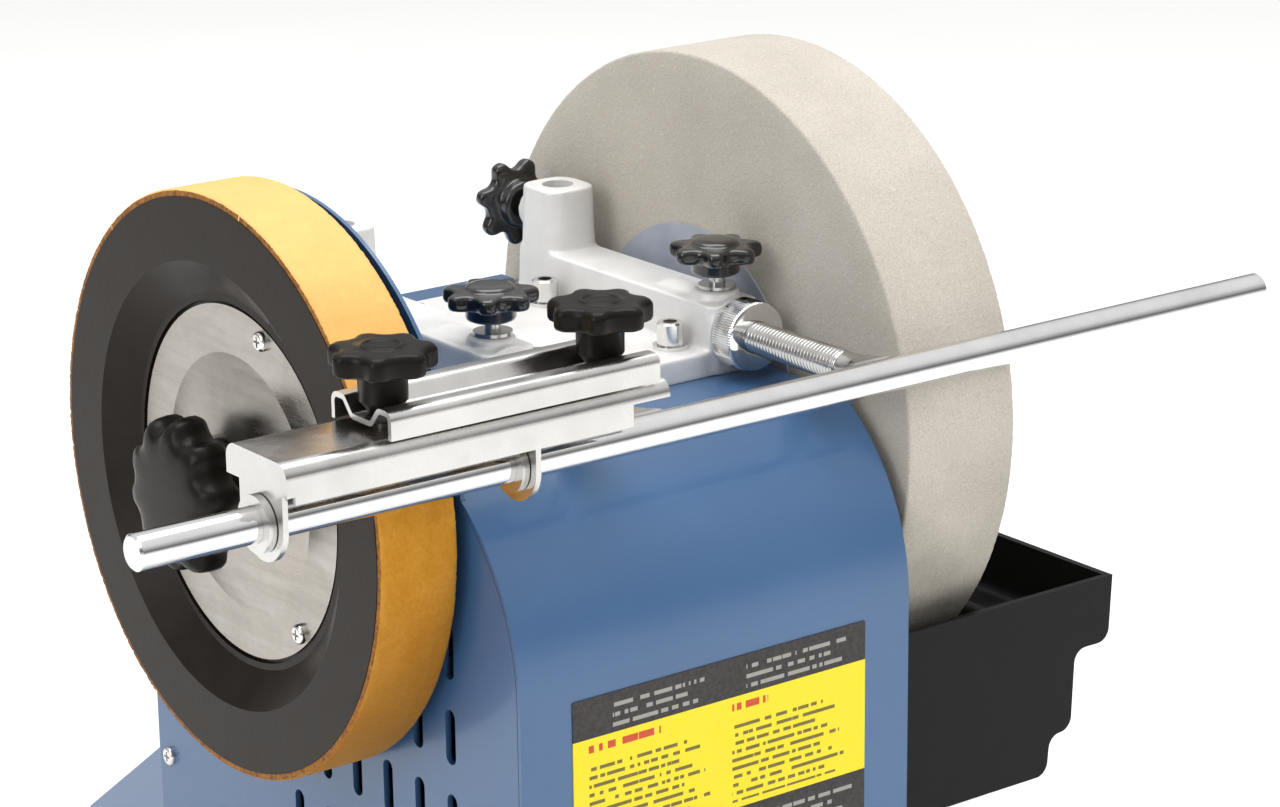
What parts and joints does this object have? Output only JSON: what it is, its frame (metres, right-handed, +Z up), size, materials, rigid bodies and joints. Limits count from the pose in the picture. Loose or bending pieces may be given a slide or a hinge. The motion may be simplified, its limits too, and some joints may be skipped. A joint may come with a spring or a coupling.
{
  "type": "bench grinder",
  "caption": "Water-cooled bench grinder: sheet-metal housing, large stone over a water trough, leather honing wheel, and a sliding support bar with a clamping tool jig.",
  "frame": {"origin": "on the bench, under the middle of the machine's overall box", "axes": "+Z up, +X along the spindle from the honing wheel to the stone, +Y to the rear"},
  "size_m": [0.482, 0.339, 0.335],
  "materials": {
    "housing_blue": "satin",
    "zinc": "satin",
    "screw_steel": "gloss",
    "rubber_black": "matte",
    "placard_print": "satin",
    "plastic_black": "gloss",
    "switch_red": "gloss",
    "cast_aluminium": "satin",
    "chrome_bar": "polished",
    "jig_plate": "polished",
    "jig_knob_plastic": "satin",
    "wheel_plastic": "satin",
    "leather": "suede",
    "steel": "satin",
    "stone_grey": "matte",
    "blotter": "matte",
    "nylon": "satin",
    "motor_grey": "cast",
    "trough_plastic": "satin",
    "rotor_steel": "satin"
  },
  "bodies": {
    "chassis": {"base_frame": "housing_blue", "front_cover": "housing_blue", "left_side_panel": "housing_blue", "right_side_panel": "housing_blue", "panel_screws": "screw_steel", "rubber_feet": "rubber_black", "front_placard": "placard_print", "switch_bezel": "plastic_black", "cable_gland": "plastic_black", "support_casting": "cast_aluminium", "casting_screws": "screw_steel", "casting_washers": "screw_steel", "bearing_blocks": "cast_aluminium", "bearing_bushes": "nylon", "motor_body": "motor_grey", "motor_end_caps": "cast_aluminium", "motor_bracket": "zinc", "motor_bolts": "zinc", "run_capacitor": "motor_grey", "carrier_screws": "screw_steel"},
    "spindle": {"main_shaft": "steel", "honing_disc": "wheel_plastic", "friction_ring": "rubber_black", "leather_band": "leather", "honing_cap": "zinc", "honing_cap_screws": "screw_steel", "grinding_stone": "stone_grey", "stone_blotters": "blotter", "stone_flanges": "zinc", "spacer_sleeve": "zinc", "stone_nut": "zinc"},
    "hand_nut": {"honing_hand_nut": "plastic_black"},
    "motor_rotor": {"motor_shaft": "rotor_steel", "drive_roller": "rotor_steel"},
    "support": {"support_bar": "chrome_bar", "plain_leg": "chrome_bar", "threaded_leg": "zinc"},
    "adjuster": {"adjusting_nut": "chrome_bar"},
    "jig_carriage": {"jig_bushes": "zinc"},
    "jig": {"jig_base": "jig_plate"},
    "clamp": {"jig_clamp": "jig_plate"},
    "trough": {"water_trough": "trough_plastic", "trough_carrier": "housing_blue"},
    "switch": {"switch_rocker": "switch_red"},
    "jig_knob_body_left": {"jig_knob_left": "jig_knob_plastic", "jig_stud_left": "rotor_steel"},
    "arm_knob_body_left": {"arm_knob_left": "plastic_black", "arm_stud_left": "zinc"},
    "post_knob_body_left": {"post_knob_left": "plastic_black", "post_stud_left": "zinc"},
    "jig_knob_body_right": {"jig_knob_right": "jig_knob_plastic", "jig_stud_right": "rotor_steel"},
    "arm_knob_body_right": {"arm_knob_right": "plastic_black", "arm_stud_right": "zinc"},
    "post_knob_body_right": {"post_knob_right": "plastic_black", "post_stud_right": "zinc"}
  },
  "joints": [
    {"name": "spindle_spin", "type": "hinge", "parent": "chassis", "child": "spindle", "pos_m": [-0.0368, -0.0244, 0.21], "axis": [1, 0, 0], "continuous": true},
    {"name": "motor_spin", "type": "hinge", "parent": "chassis", "child": "motor_rotor", "pos_m": [-0.0968, 0.0156, 0.13785], "axis": [1, 0, 0], "continuous": true},
    {"name": "hand_nut_turn", "type": "hinge", "parent": "spindle", "child": "hand_nut", "pos_m": [-0.1468, -0.0244, 0.21], "axis": [1, 0, 0], "range_deg": [0, 360]},
    {"name": "support_slide", "type": "slide", "parent": "chassis", "child": "support", "axis": [0, 1, 0], "range_m": [-0.05, 0]},
    {"name": "adjuster_turn", "type": "hinge", "parent": "support", "child": "adjuster", "pos_m": [0.0537, -0.0815, 0.2435], "axis": [0, 1, 0], "continuous": true},
    {"name": "jig_slide", "type": "slide", "parent": "support", "child": "jig_carriage", "axis": [1, 0, 0], "range_m": [-0.04, 0.035]},
    {"name": "jig_tilt", "type": "hinge", "parent": "jig_carriage", "child": "jig", "pos_m": [-0.1368, -0.1534, 0.2435], "axis": [1, 0, 0], "range_deg": [-5, 100]},
    {"name": "clamp_lift", "type": "slide", "parent": "jig", "child": "clamp", "axis": [0, 0, 1], "range_m": [0, 0.006]},
    {"name": "switch_rock", "type": "hinge", "parent": "chassis", "child": "switch", "pos_m": [-0.0168, -0.1529, 0.05], "axis": [1, 0, 0], "range_deg": [-9, 9]},
    {"name": "trough_slide", "type": "slide", "parent": "chassis", "child": "trough", "axis": [0, 0, 1], "range_m": [-0.04, 0]},
    {"name": "jig_knob_turn_left", "type": "hinge", "parent": "clamp", "child": "jig_knob_body_left", "pos_m": [-0.1479, -0.1519, 0.27], "axis": [0, 0, 1], "range_deg": [0, 1728]},
    {"name": "jig_knob_turn_right", "type": "hinge", "parent": "clamp", "child": "jig_knob_body_right", "pos_m": [-0.0633, -0.1519, 0.27], "axis": [0, 0, 1], "range_deg": [0, 1728]},
    {"name": "arm_knob_turn_left", "type": "hinge", "parent": "chassis", "child": "arm_knob_body_left", "pos_m": [-0.0458, -0.0639, 0.263], "axis": [0, 0, 1], "range_deg": [0, 360]},
    {"name": "post_knob_turn_left", "type": "hinge", "parent": "chassis", "child": "post_knob_body_left", "pos_m": [-0.0458, 0.0551, 0.266], "axis": [0, 1, 0], "range_deg": [0, 360]},
    {"name": "arm_knob_turn_right", "type": "hinge", "parent": "chassis", "child": "arm_knob_body_right", "pos_m": [0.0537, -0.0639, 0.263], "axis": [0, 0, 1], "range_deg": [0, 360]},
    {"name": "post_knob_turn_right", "type": "hinge", "parent": "chassis", "child": "post_knob_body_right", "pos_m": [0.0537, 0.0551, 0.266], "axis": [0, 1, 0], "range_deg": [0, 360]}
  ],
  "couplings": [
    {"joint": "motor_spin", "follows": "spindle_spin", "ratio": 12.5},
    {"joint": "jig_knob_turn_left", "follows": "clamp_lift", "rad_per_m": 5026.5},
    {"joint": "jig_knob_turn_right", "follows": "clamp_lift", "rad_per_m": 5026.5}
  ]
}
